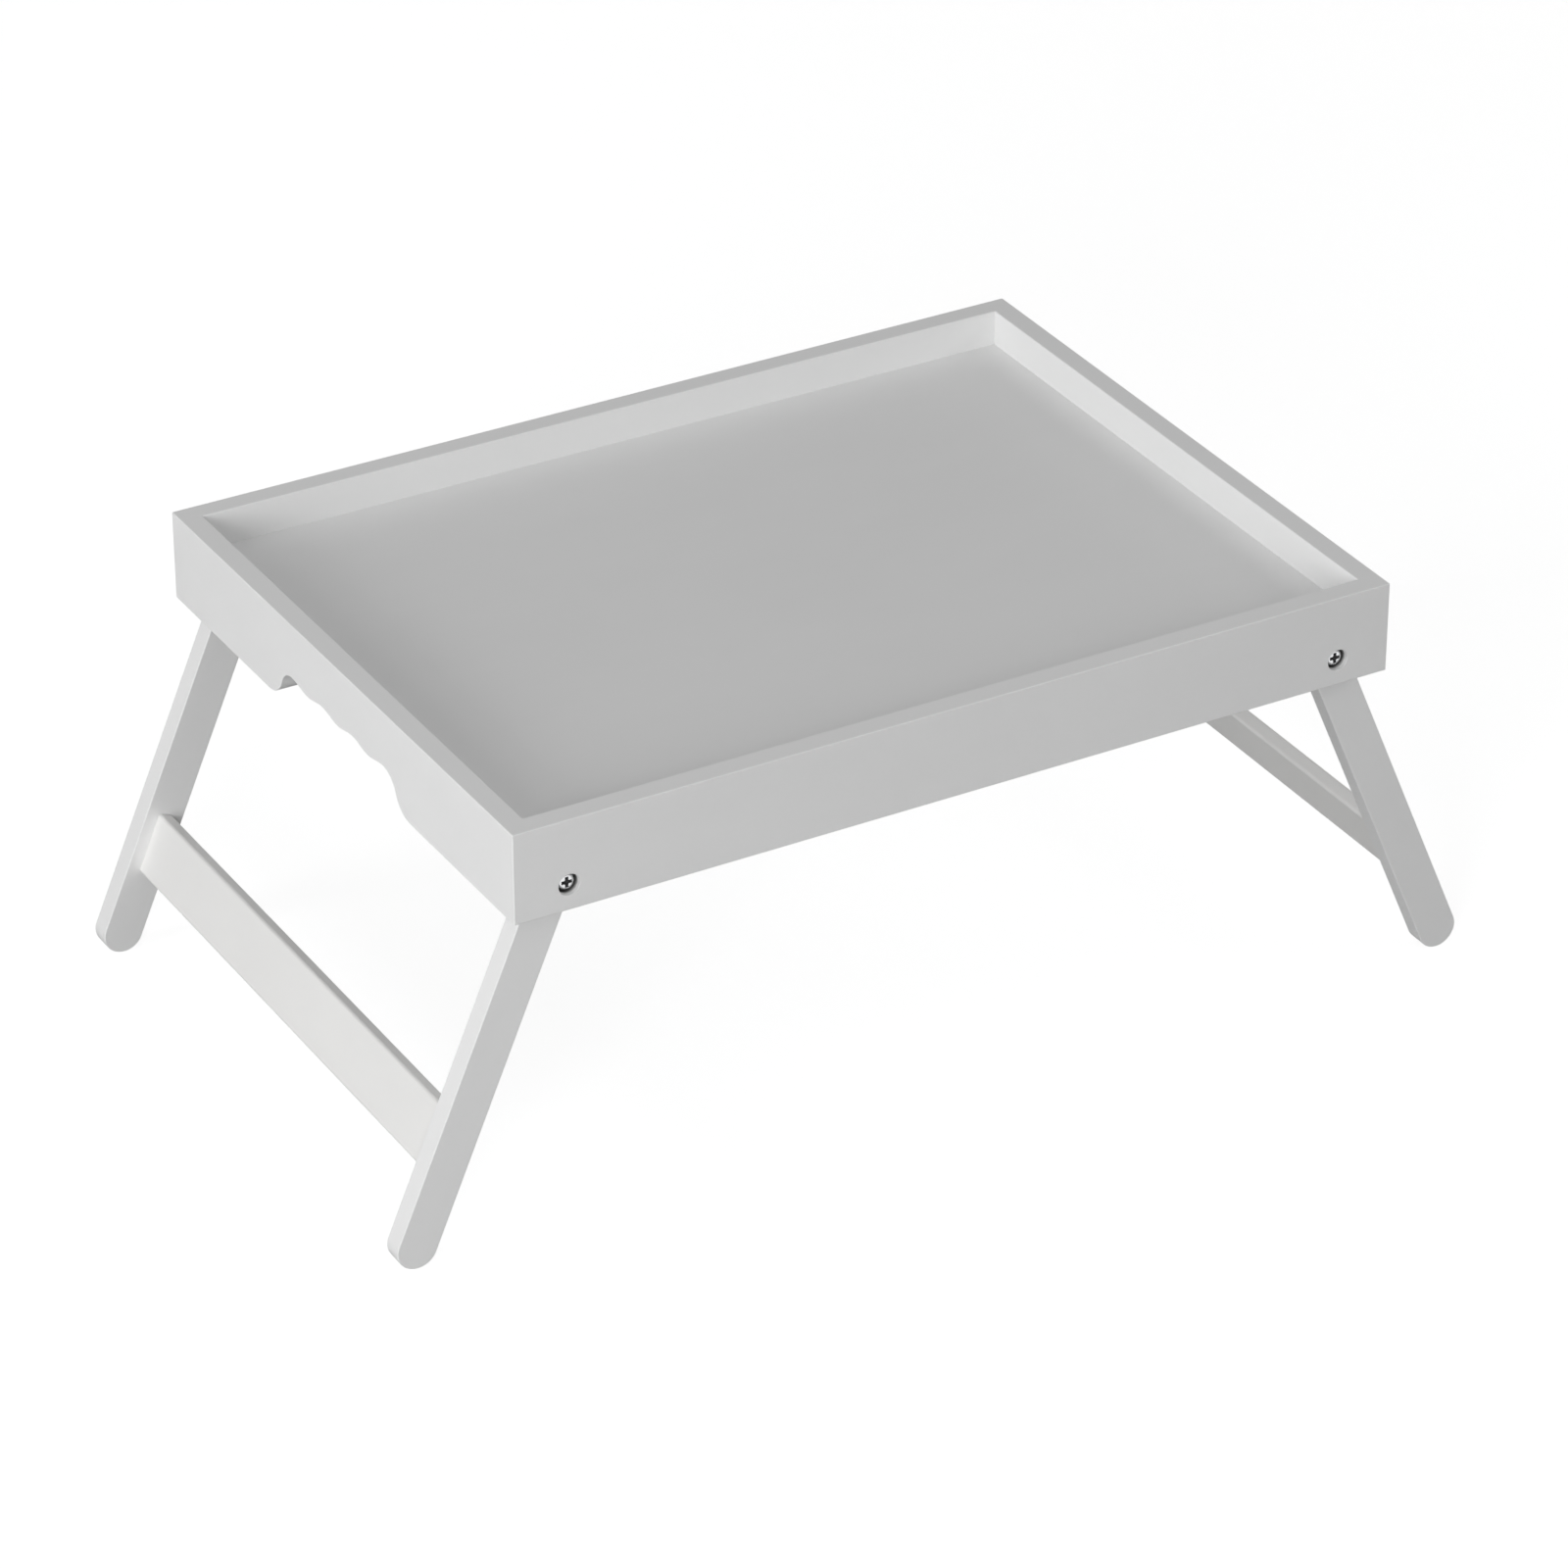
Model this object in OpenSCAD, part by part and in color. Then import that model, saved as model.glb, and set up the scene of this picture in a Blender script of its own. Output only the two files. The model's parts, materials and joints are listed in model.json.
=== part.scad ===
// Folding tray table: a shallow rectangular tray on two leg frames that fold flat
// under it.  X runs along the tray's long side, Y along its short side, +Z is up.
// The origin is on the floor, under the middle of the tray, with the legs open.

/* [Tray] */
// Length of the tray
tray_l = 500; // [500:2:600]
// Width of the tray
tray_w = 375; // [340:5:450]
// Height of the rails
rail_h = 50; // [50:1:60]
// Thickness of the rails
rail_t = 12; // [11:0.5:12]
// Height of the rim above the floor with the legs open
overall_h = 237; // [220:1:239]
// Depth of the panel's top face below the rim
recess_d = 20; // [12:0.5:20]
// Thickness of the panel
panel_t = 4; // [3:0.5:4]
// Thickness of the tongue round the panel's edge, level with its underside
tongue_t = 3; // [2:0.5:3]
// How far the tongue runs into the grooves in the rails
groove_d = 4; // [2:0.5:5]

/* [Hand grips] */
// Height of the cut-out above the bottom edge of the end rail
grip_h = 18.8; // [16:0.2:20]
// Distance from one finger hollow to the next, four hollows in all
finger_pitch = 33.5; // [28:0.5:36]
// Depth of the finger hollows
finger_d = 2.4; // [0:0.2:4]
// Radius of the cut-out's upper corners
grip_corner_r = 14; // [10:0.5:14]
// Radius of the rounding where the cut-out meets the bottom edge
grip_flare_r = 16; // [10:0.5:18]

/* [Legs] */
// Width of a leg, seen from the front
leg_w = 22; // [20:0.5:22]
// Thickness of a leg
leg_t = 12; // [11:0.5:13]
// Angle between an open leg and the vertical
splay = 23; // [20:0.5:23]
// Distance from the end of the tray to the pivot
pivot_in = 30; // [30:0.5:32]
// Distance from the bottom edge of the rail up to the pivot
pivot_up = 14; // [13:0.5:14]
// Gap between a leg and the rail beside it
leg_gap = 0.25; // [0.2:0.05:0.4]

/* [Cross bars] */
// Width of a cross bar, along the leg
bar_w = 34; // [28:1:40]
// Thickness of a cross bar
bar_t = 8.5; // [6:0.5:10]
// Radius of the cross bar's rounded edges
bar_edge_r = 2; // [1:0.5:2.5]
// Distance from the pivot to the middle of the cross bar
bar_from_pivot = 153.2; // [120:0.1:160]
// How far the cross bar sits inward of the middle of the legs
bar_inset = 0.5; // [0:0.1:1]
// Depth of the blind slot in the leg that holds the end of the cross bar
bar_slot_d = 7; // [5:0.5:8]

/* [Pivot hardware] */
// Diameter of the pivot bolt (M5)
bolt_d = 5; // [5]
// Length of the pivot bolt under its head
bolt_l = 25; // [25:1:28]
// Diameter of the bolt's pan head
bolt_head_d = 9.5; // [9:0.1:10]
// Height of the bolt's head
bolt_head_h = 3.7; // [3:0.1:4]
// Diameter of the counterbore in the rail
counterbore_d = 11.5; // [11:0.5:13]
// Depth of the counterbore in the rail
counterbore_depth = 6.5; // [5.5:0.1:7]
// Width across flats of the lock nut
nut_flats = 8; // [8]

/* [Hidden] */

paint = "#e6e6e4";
steel = "#8f9193";
beech = "#d8b98a";
$fn = 96;

// Signs that place a part of the front left quarter in one of the four quarters
LEFT = -1;
RIGHT = 1;
FRONT = -1;
BACK = 1;

// Cuts run this far past a face, so that no skin is left
over = 1;
// Clearances: round pins in holes, and flat faces of neighbours that move
pin_gap = 0.05;
face_gap = 0.2;

// Levels above the floor
rail_z = overall_h - rail_h;
panel_top_z = overall_h - recess_d;
panel_z = panel_top_z - panel_t;
pivot_z = rail_z + pivot_up;

// Places from the middle of the tray
half_l = tray_l / 2;
half_w = tray_w / 2;
inner_l = tray_l - 2 * rail_t;
inner_w = tray_w - 2 * rail_t;
pivot_x = half_l - pivot_in;
leg_outer_y = inner_w / 2 - leg_gap;
leg_inner_y = leg_outer_y - leg_t;

// The foot is a half circle whose lowest point touches the floor
leg_len = (pivot_z - leg_w / 2) / cos(splay);

// Dowels at the tray's corners: two in each, clear of the panel's groove
dowel_d = 6;
dowel_in_rail = 8;
dowel_in_end = 20;
dowel_heights = [12, rail_h - 9];

// Washer and nut, as in the M5 standards
washer_d = 10;
washer_hole_d = 5.3;
washer_t = 1;
nut_hex_h = 3.6;
nut_h = 5;
nut_collar_d = 7;
bolt_tip_chamfer = 0.6;
bolt_y = half_w - counterbore_depth;
washer_y = leg_inner_y - face_gap;

// Cross recess in the bolt's head
recess_span = 5.8;
recess_web = 1.8;
recess_depth = 2.4;

// Points of an arc, from angle a to angle b in n steps
function arc(cx, cy, r, a, b, n) =
    [for (i = [0 : n]) [cx + r * cos(a + (b - a) * i / n), cy + r * sin(a + (b - a) * i / n)]];

// The hand grip's outline: an S-curve at each end and a wave of finger hollows between
corner_y = 1.5 * finger_pitch;
corner_z = grip_h - grip_corner_r;
flare_rise = grip_flare_r - corner_z;
flare_run = sqrt(pow(grip_corner_r + grip_flare_r, 2) - pow(flare_rise, 2));
flare_y = corner_y + flare_run;
flare_angle = atan2(flare_rise, flare_run);
wave_steps = 60;
function wave(y) = grip_h - finger_d / 2 * (1 + cos(360 * y / finger_pitch));
grip_half = concat(
    arc(flare_y, grip_flare_r, grip_flare_r, 270, 180 + flare_angle, 10),
    arc(corner_y, corner_z, grip_corner_r, flare_angle, 90, 10)
);
grip_wave = [for (i = [1 : wave_steps - 1])
    let (y = corner_y * (1 - 2 * i / wave_steps)) [y, wave(y)]];
grip_points = concat(
    [[flare_y, -over]],
    grip_half,
    grip_wave,
    [for (i = [len(grip_half) - 1 : -1 : 0]) [-grip_half[i][0], grip_half[i][1]]],
    [[-flare_y, -over]]
);

// Puts a part drawn in the front left quarter into the quarter named by the two signs
module quarter(side, face) {
    if (side == LEFT && face == FRONT) children();
    if (side == RIGHT && face == FRONT) mirror([1, 0, 0]) children();
    if (side == LEFT && face == BACK) mirror([0, 1, 0]) children();
    if (side == RIGHT && face == BACK) mirror([1, 0, 0]) mirror([0, 1, 0]) children();
}

// A cylinder along Y that starts at y and runs towards +Y
module rod_y(x, y, z, d, length) {
    translate([x, y, z]) rotate([-90, 0, 0]) cylinder(h = length, d = d);
}

// Outline of a leg: a half circle at both ends, with length from one centre to the other
module leg_outline(length, width) {
    square([length, width], center = true);
    for (end = [-1, 1]) translate([end * length / 2, 0]) circle(d = width);
}

// Section of a cross bar: a rectangle with rounded corners, larger by clearance all round
module bar_outline(clearance) {
    r = bar_edge_r + clearance;
    w = bar_w + 2 * clearance;
    t = bar_t + 2 * clearance;
    square([w, t - 2 * r], center = true);
    square([w - 2 * r, t], center = true);
    for (a = [-1, 1], b = [-1, 1]) translate([a * (w / 2 - r), b * (t / 2 - r)]) circle(r = r);
}

// The frame of an open left leg: its origin is at the pivot and its Z runs up the leg
module left_leg_frame() {
    translate([-pivot_x, 0, pivot_z]) rotate([0, splay, 0]) children();
}

module corner_holes(clearance) {
    for (side = [LEFT, RIGHT], h = dowel_heights) {
        quarter(side, FRONT)
            rod_y(-half_l + rail_t / 2, -inner_w / 2 - dowel_in_rail - clearance,
                rail_z + h, dowel_d + 2 * clearance,
                dowel_in_rail + dowel_in_end + 2 * clearance);
    }
}

module long_rail(face) {
    color(paint) quarter(LEFT, face) difference() {
        translate([-half_l, -half_w, rail_z]) cube([tray_l, rail_t, rail_h]);
        translate([-inner_l / 2 - groove_d, -inner_w / 2 - groove_d, panel_z])
            cube([inner_l + 2 * groove_d, groove_d + over, tongue_t]);
        for (side = [LEFT, RIGHT]) {
            rod_y(side * pivot_x, -half_w - over, pivot_z,
                counterbore_d, counterbore_depth + over);
            rod_y(side * pivot_x, -half_w, pivot_z, bolt_d + 2 * pin_gap, rail_t + over);
        }
        corner_holes(pin_gap);
    }
}

module end_rail(side) {
    color(paint) quarter(side, FRONT) difference() {
        translate([-half_l, -inner_w / 2, rail_z]) cube([rail_t, inner_w, rail_h]);
        translate([-inner_l / 2 - groove_d, -inner_w / 2 - over, panel_z])
            cube([groove_d + over, inner_w + 2 * over, tongue_t]);
        translate([-half_l - over, 0, rail_z]) rotate([90, 0, 90])
            linear_extrude(rail_t + 2 * over) polygon(grip_points);
        for (face = [FRONT, BACK]) quarter(LEFT, face) corner_holes(pin_gap);
    }
}

module tray_panel() {
    color(paint) translate([0, 0, panel_z]) {
        translate([-inner_l / 2, -inner_w / 2, 0]) cube([inner_l, inner_w, panel_t]);
        translate([-inner_l / 2 - groove_d, -inner_w / 2 - groove_d, 0])
            cube([inner_l + 2 * groove_d, inner_w + 2 * groove_d, tongue_t]);
    }
}

module leg(side, face) {
    color(paint) quarter(side, face) difference() {
        left_leg_frame()
            translate([0, -leg_inner_y, -leg_len / 2]) rotate([90, 90, 0])
                linear_extrude(leg_t) leg_outline(leg_len, leg_w);
        rod_y(-pivot_x, -leg_outer_y - over, pivot_z, bolt_d + 2 * pin_gap, leg_t + 2 * over);
        left_leg_frame()
            translate([bar_inset, -leg_inner_y + over, -bar_from_pivot]) rotate([90, 90, 0])
                linear_extrude(bar_slot_d + over) bar_outline(pin_gap);
    }
}

module cross_bar(side) {
    bar_l = 2 * (leg_inner_y + bar_slot_d - pin_gap);
    color(paint) quarter(side, FRONT) left_leg_frame()
        translate([bar_inset, bar_l / 2, -bar_from_pivot]) rotate([90, 90, 0])
            linear_extrude(bar_l) bar_outline(0);
}

// Pan head machine screw: drawn along +Z from the top of its head, then laid along Y
module pivot_bolt(side, face) {
    color(steel) quarter(side, face)
        translate([-pivot_x, -bolt_y - bolt_head_h, pivot_z]) rotate([-90, 0, 0]) difference() {
            rotate_extrude() polygon(concat(
                [[0, 0]],
                [for (a = [0 : 10 : 90]) [
                    bolt_head_d / 2 - bolt_head_h * 0.55 * (1 - sin(a)),
                    bolt_head_h * 0.55 * (1 - cos(a))
                ]],
                [
                    [bolt_head_d / 2, bolt_head_h],
                    [bolt_d / 2, bolt_head_h],
                    [bolt_d / 2, bolt_head_h + bolt_l - bolt_tip_chamfer],
                    [bolt_d / 2 - bolt_tip_chamfer, bolt_head_h + bolt_l],
                    [0, bolt_head_h + bolt_l]
                ]
            ));
            for (turn = [0, 90]) rotate([0, 0, turn])
                translate([-recess_span / 2, -recess_web / 2, -over])
                    cube([recess_span, recess_web, recess_depth + over]);
        }
}

module washer(side, face) {
    color(steel) quarter(side, face) difference() {
        rod_y(-pivot_x, -washer_y, pivot_z, washer_d, washer_t);
        rod_y(-pivot_x, -washer_y - over, pivot_z, washer_hole_d, washer_t + 2 * over);
    }
}

module lock_nut(side, face) {
    color(steel) quarter(side, face)
        translate([-pivot_x, -washer_y + washer_t, pivot_z]) rotate([-90, 0, 0]) difference() {
            union() {
                cylinder(h = nut_hex_h, d = nut_flats / cos(30), $fn = 6);
                cylinder(h = nut_h, d = nut_collar_d);
            }
            translate([0, 0, -over]) cylinder(h = nut_h + 2 * over, d = bolt_d + 2 * pin_gap);
        }
}

module corner_dowels(side, face) {
    color(beech) quarter(side, face)
        for (h = dowel_heights)
            rod_y(-half_l + rail_t / 2, -inner_w / 2 - dowel_in_rail, rail_z + h,
                dowel_d, dowel_in_rail + dowel_in_end);
}

long_rail(FRONT);  // rail_front
long_rail(BACK);  // rail_back
end_rail(LEFT);  // end_rail_left
end_rail(RIGHT);  // end_rail_right
tray_panel();
leg(LEFT, FRONT);  // leg_front_left
leg(LEFT, BACK);  // leg_back_left
leg(RIGHT, FRONT);  // leg_front_right
leg(RIGHT, BACK);  // leg_back_right
cross_bar(LEFT);  // cross_bar_left
cross_bar(RIGHT);  // cross_bar_right
pivot_bolt(LEFT, FRONT);  // pivot_bolt_front_left
pivot_bolt(LEFT, BACK);  // pivot_bolt_back_left
pivot_bolt(RIGHT, FRONT);  // pivot_bolt_front_right
pivot_bolt(RIGHT, BACK);  // pivot_bolt_back_right
washer(LEFT, FRONT);  // washer_front_left
washer(LEFT, BACK);  // washer_back_left
washer(RIGHT, FRONT);  // washer_front_right
washer(RIGHT, BACK);  // washer_back_right
lock_nut(LEFT, FRONT);  // lock_nut_front_left
lock_nut(LEFT, BACK);  // lock_nut_back_left
lock_nut(RIGHT, FRONT);  // lock_nut_front_right
lock_nut(RIGHT, BACK);  // lock_nut_back_right
corner_dowels(LEFT, FRONT);  // dowels_front_left
corner_dowels(LEFT, BACK);  // dowels_back_left
corner_dowels(RIGHT, FRONT);  // dowels_front_right
corner_dowels(RIGHT, BACK);  // dowels_back_right
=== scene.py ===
"""Looks of a folding tray table: painted wood on zinc plated pivot bolts."""

import itertools
import json
import math

import bmesh
import bpy
from mathutils import Matrix, Vector

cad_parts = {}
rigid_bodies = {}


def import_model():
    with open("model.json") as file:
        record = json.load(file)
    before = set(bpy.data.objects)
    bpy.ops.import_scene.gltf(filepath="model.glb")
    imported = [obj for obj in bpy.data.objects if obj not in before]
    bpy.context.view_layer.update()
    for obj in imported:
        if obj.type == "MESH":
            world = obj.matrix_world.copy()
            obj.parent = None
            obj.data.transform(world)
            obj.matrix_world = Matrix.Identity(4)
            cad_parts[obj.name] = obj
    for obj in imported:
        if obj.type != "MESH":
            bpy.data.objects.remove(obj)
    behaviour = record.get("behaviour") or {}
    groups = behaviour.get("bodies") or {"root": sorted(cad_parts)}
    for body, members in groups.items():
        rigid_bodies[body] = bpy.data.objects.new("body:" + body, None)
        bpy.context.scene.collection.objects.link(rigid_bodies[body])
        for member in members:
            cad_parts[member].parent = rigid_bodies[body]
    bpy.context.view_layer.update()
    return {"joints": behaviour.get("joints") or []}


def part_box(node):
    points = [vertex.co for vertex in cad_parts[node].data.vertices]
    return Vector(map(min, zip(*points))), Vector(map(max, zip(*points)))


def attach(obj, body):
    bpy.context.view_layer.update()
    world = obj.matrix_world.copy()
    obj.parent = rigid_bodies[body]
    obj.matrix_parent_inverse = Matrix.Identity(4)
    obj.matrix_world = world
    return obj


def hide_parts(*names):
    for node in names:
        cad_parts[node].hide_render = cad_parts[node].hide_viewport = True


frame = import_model()
scene = bpy.context.scene
MM = 0.001

LEFT, RIGHT, FRONT, BACK = -1, 1, -1, 1
SIDE = {LEFT: "left", RIGHT: "right"}
FACE = {FRONT: "front", BACK: "back"}

# ---------------------------------------------------------------- sizes from the CAD
rail_lo, rail_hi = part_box("rail_front")
_, end_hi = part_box("end_rail_left")
panel_lo, panel_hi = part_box("tray_panel")
leg_lo, leg_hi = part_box("leg_front_left")
bar_lo, bar_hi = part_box("cross_bar_left")
bolt_lo, bolt_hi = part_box("pivot_bolt_front_left")
washer_lo, washer_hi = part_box("washer_front_left")
nut_lo, nut_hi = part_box("lock_nut_front_left")
dowel_lo, dowel_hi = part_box("dowels_front_left")
pivot = Vector(next(j for j in frame["joints"] if j["name"] == "left_legs_fold")["pos_m"])

HALF_L, HALF_W = -rail_lo.x, -rail_lo.y
OPEN_X, OPEN_Y = -end_hi.x, -rail_hi.y
RAIL_Z, RIM_Z = rail_lo.z, rail_hi.z

# Sizes that the boxes don't give, as in the CAD source
LEG_R = 11 * MM
BAR_W, BAR_T, BAR_R = 34 * MM, 8.5 * MM, 2 * MM
BAR_AT, BAR_INSET = 153.2 * MM, 0.5 * MM
SLOT_DEPTH = 7 * MM
GAP = 0.05 * MM
TONGUE_T = 3 * MM
BOLT_R = 2.5 * MM
COUNTERBORE_R, COUNTERBORE_DEPTH = 5.75 * MM, 6.5 * MM
DOWEL_R = 3 * MM
NUT_FLATS, NUT_HEX_H, COLLAR_R = 8 * MM, 3.6 * MM, 3.5 * MM
WASHER_HOLE_R = 2.65 * MM

foot = Vector((leg_lo.x + LEG_R, 0, LEG_R))
down = Vector((foot.x - pivot.x, 0, foot.z - pivot.z))
LEG_LEN = down.length
down.normalize()
across = Vector((-down.z, 0, down.x))

# Softened edges
ARRIS = 0.6 * MM
ARRIS_STEPS = 4

# Points closer than this are welded after a boolean, in metres
WELD = 1e-7
# Cutting blocks reach this far, well past the table
FAR, PAST = 1, 0.05
# A little slack where a point is sorted by its distance from an axis
SLACK = 0.01 * MM

# Points round a turned shape
BORE_STEPS, NUT_STEPS, DOWEL_STEPS = 96, 96, 96
HARDWARE_STEPS, LEG_HOLE_STEPS, DOWEL_HOLE_STEPS = 72, 64, 48

# The corners of a rectangle, in order, by the signs of their two coordinates
CORNERS = ((-1, -1), (1, -1), (1, 1), (-1, 1))


# ---------------------------------------------------------------- mesh tools
def arc(cx, cy, r, start, end, steps):
    """Points of an arc, angles in degrees."""
    made = []
    for i in range(steps + 1):
        a = math.radians(start + (end - start) * i / steps)
        made.append((cx + r * math.cos(a), cy + r * math.sin(a)))
    return made


def prism(points, low, high, place):
    """A closed prism of a flat outline; place(a, b, height) puts each point in the part's frame."""
    bm = bmesh.new()
    rings = [[bm.verts.new(place(a, b, h)) for a, b in points] for h in (low, high)]
    bm.faces.new(rings[0])
    bm.faces.new(rings[1][::-1])
    for i in range(len(points)):
        bm.faces.new((rings[0][i], rings[0][i - 1], rings[1][i - 1], rings[1][i]))
    bmesh.ops.recalc_face_normals(bm, faces=bm.faces)
    return bm


def block(lo, hi):
    """A closed box, for cutting."""
    corners = [(lo[0], lo[1]), (hi[0], lo[1]), (hi[0], hi[1]), (lo[0], hi[1])]
    return prism(corners, lo[2], hi[2], lambda a, b, h: (a, b, h))


def turned(profile, steps, place, closed=False, radius=None):
    """A surface turned from (radius, along) points. A closed profile is a ring that keeps off
    the axis. radius(r, along, angle) may change the radius, for threads and flutes."""
    bm = bmesh.new()
    rows = []
    for r, along in profile:
        if r == 0:
            rows.append([bm.verts.new(place(0, 0, along))])
            continue
        row = []
        for i in range(steps):
            a = 2 * math.pi * i / steps
            size = radius(r, along, a) if radius else r
            row.append(bm.verts.new(place(size * math.cos(a), size * math.sin(a), along)))
        rows.append(row)
    pairs = list(zip(rows, rows[1:])) + ([(rows[-1], rows[0])] if closed else [])
    for low, high in pairs:
        for i in range(steps):
            j = (i + 1) % steps
            quad = [low[i % len(low)], low[j % len(low)], high[j % len(high)], high[i % len(high)]]
            bm.faces.new(list(dict.fromkeys(quad)))
    bmesh.ops.recalc_face_normals(bm, faces=bm.faces)
    return bm


def along_y(x, z, sign=1):
    """Places a turned shape on an axis along Y through (x, z)."""
    return lambda a, b, h: (x + a, sign * h, z + b)


def soften(bm, radius, steps=ARRIS_STEPS, limit=40):
    """Rounds the outward edges sharper than limit degrees."""
    edges = [e for e in bm.edges
             if e.is_manifold and e.calc_face_angle_signed() > math.radians(limit)]
    bmesh.ops.bevel(
        bm, geom=edges, offset=radius, offset_type="OFFSET", segments=steps,
        profile=0.5, affect="EDGES", clamp_overlap=False,
    )
    bmesh.ops.recalc_face_normals(bm, faces=bm.faces)


def to_object(bm, name):
    """Makes an object of bm, which is used up."""
    mesh = bpy.data.meshes.new(name)
    bm.to_mesh(mesh)
    bm.free()
    made = bpy.data.objects.new(name, mesh)
    scene.collection.objects.link(made)
    return made


def drop(obj):
    """Removes an object, and its mesh if nothing else uses it."""
    mesh = obj.data
    bpy.data.objects.remove(obj)
    if mesh.users == 0:
        bpy.data.meshes.remove(mesh)


def combine(obj, tools, how="DIFFERENCE"):
    """Applies exact booleans with the tools, which are used up."""
    for tool in tools:
        modifier = obj.modifiers.new("boolean", "BOOLEAN")
        modifier.operation = how
        modifier.solver = "EXACT"
        modifier.object = tool
    graph = bpy.context.evaluated_depsgraph_get()
    mesh = bpy.data.meshes.new_from_object(obj.evaluated_get(graph))
    obj.modifiers.clear()
    old, obj.data = obj.data, mesh
    mesh.name = old.name
    bpy.data.meshes.remove(old)
    for tool in tools:
        drop(tool)
    bm = bmesh.new()
    bm.from_mesh(obj.data)
    bmesh.ops.remove_doubles(bm, verts=bm.verts, dist=WELD)
    bmesh.ops.dissolve_degenerate(bm, edges=bm.edges, dist=WELD)
    bm.to_mesh(obj.data)
    bm.free()
    return obj


def cutter(bm):
    """An object for combine, which removes it after use."""
    return to_object(bm, "cutter")


def direction(azimuth, elevation):
    """The unit vector towards an azimuth, from the front, and an elevation, in degrees."""
    a, e = math.radians(azimuth), math.radians(elevation)
    return Vector((math.sin(a) * math.cos(e), -math.cos(a) * math.cos(e), math.sin(e)))


def quarter(side, face):
    """Mirrors the front left quarter into another."""
    return Matrix.Diagonal((-side, -face, 1, 1))


def mirrored(obj, name, matrix):
    """A copy of obj in another quarter, with its faces still outward."""
    mesh = obj.data.copy()
    mesh.transform(matrix)
    if matrix.determinant() < 0:
        mesh.flip_normals()
    mesh.name = name
    made = bpy.data.objects.new(name, mesh)
    scene.collection.objects.link(made)
    return made


def second_material(obj, wanted):
    """Gives the faces whose centre is wanted the piece's second material."""
    for face in obj.data.polygons:
        face.material_index = 1 if wanted(face.center) else 0


# Each piece has a number, and its own coordinates are moved by so many of these steps
piece_number = itertools.count(1)
APART = Vector((0.37, 0.23, 0.61))


def settle(obj, nodes, body, materials, origin, grain, width, angle=32, spread=1):
    """Finishes a piece: shading, its own coordinates for the grain, its material and its body."""
    mesh = obj.data
    kept = [face.material_index for face in mesh.polygons]
    mesh.materials.clear()
    for material in materials:
        mesh.materials.append(material)
    for face, index in zip(mesh.polygons, kept):
        face.material_index = min(index, len(materials) - 1)
    # Each piece's own coordinates: along the grain, across it and through it. Pieces are set
    # far apart, so that no two show the same figure; turned pieces only along their axis.
    grain, width = Vector(grain).normalized(), Vector(width).normalized()
    depth = grain.cross(width)
    shift = Vector((APART.x, APART.y * spread, APART.z * spread)) * next(piece_number)
    own = mesh.attributes.new("own", "FLOAT_VECTOR", "POINT")
    for vertex, item in zip(mesh.vertices, own.data):
        p = vertex.co - origin
        item.vector = Vector((p.dot(grain), p.dot(width), p.dot(depth))) + shift
    mesh.shade_smooth()
    mesh.set_sharp_from_angle(angle=math.radians(angle))
    weighted = obj.modifiers.new("weighted normals", "WEIGHTED_NORMAL")
    weighted.keep_sharp = True
    weighted.weight = 50
    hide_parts(*nodes)
    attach(obj, body)
    return obj


# ---------------------------------------------------------------- materials
class Nodes:
    """Short names for building a node tree."""

    def __init__(self, name):
        self.material = bpy.data.materials.new(name)
        self.material.use_nodes = True
        self.tree = self.material.node_tree
        self.shader = self.tree.nodes["Principled BSDF"]

    def add(self, kind, **settings):
        node = self.tree.nodes.new("ShaderNode" + kind)
        for key, value in settings.items():
            setattr(node, key, value)
        return node

    def link(self, source, target):
        self.tree.links.new(source, target)
        return source

    def own(self, scale=(1, 1, 1)):
        """The piece's own coordinates, scaled."""
        attribute = self.add("Attribute", attribute_name="own")
        times = self.add("VectorMath", operation="MULTIPLY")
        times.inputs[1].default_value = scale
        self.link(attribute.outputs["Vector"], times.inputs[0])
        return times.outputs[0]

    def noise(self, vector, detail=2.0, roughness=0.5, scale=1.0):
        node = self.add("TexNoise")
        node.inputs["Scale"].default_value = scale
        node.inputs["Detail"].default_value = detail
        node.inputs["Roughness"].default_value = roughness
        self.link(vector, node.inputs["Vector"])
        return node.outputs["Fac"]

    def to_range(self, value, low, high, from_low=0.3, from_high=0.7):
        node = self.add("MapRange")
        for key, number in (("From Min", from_low), ("From Max", from_high),
                            ("To Min", low), ("To Max", high)):
            node.inputs[key].default_value = number
        self.link(value, node.inputs["Value"])
        return node.outputs[0]

    def sum(self, *values):
        total = values[0]
        for value in values[1:]:
            node = self.add("Math", operation="ADD")
            self.link(total, node.inputs[0])
            self.link(value, node.inputs[1])
            total = node.outputs[0]
        return total

    def tint(self, value, dark, light):
        """A colour between two, by a value from 0 to 1."""
        node = self.add("Mix", data_type="RGBA")
        node.inputs["A"].default_value = (*dark, 1)
        node.inputs["B"].default_value = (*light, 1)
        self.link(value, node.inputs["Factor"])
        return self.link(node.outputs["Result"], self.shader.inputs["Base Color"])

    def bump(self, height, depth):
        """Raises the surface by height times depth in metres."""
        node = self.add("Bump")
        node.inputs["Distance"].default_value = depth
        node.inputs["Strength"].default_value = 1
        self.link(height, node.inputs["Height"])
        self.link(node.outputs[0], self.shader.inputs["Normal"])


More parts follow.
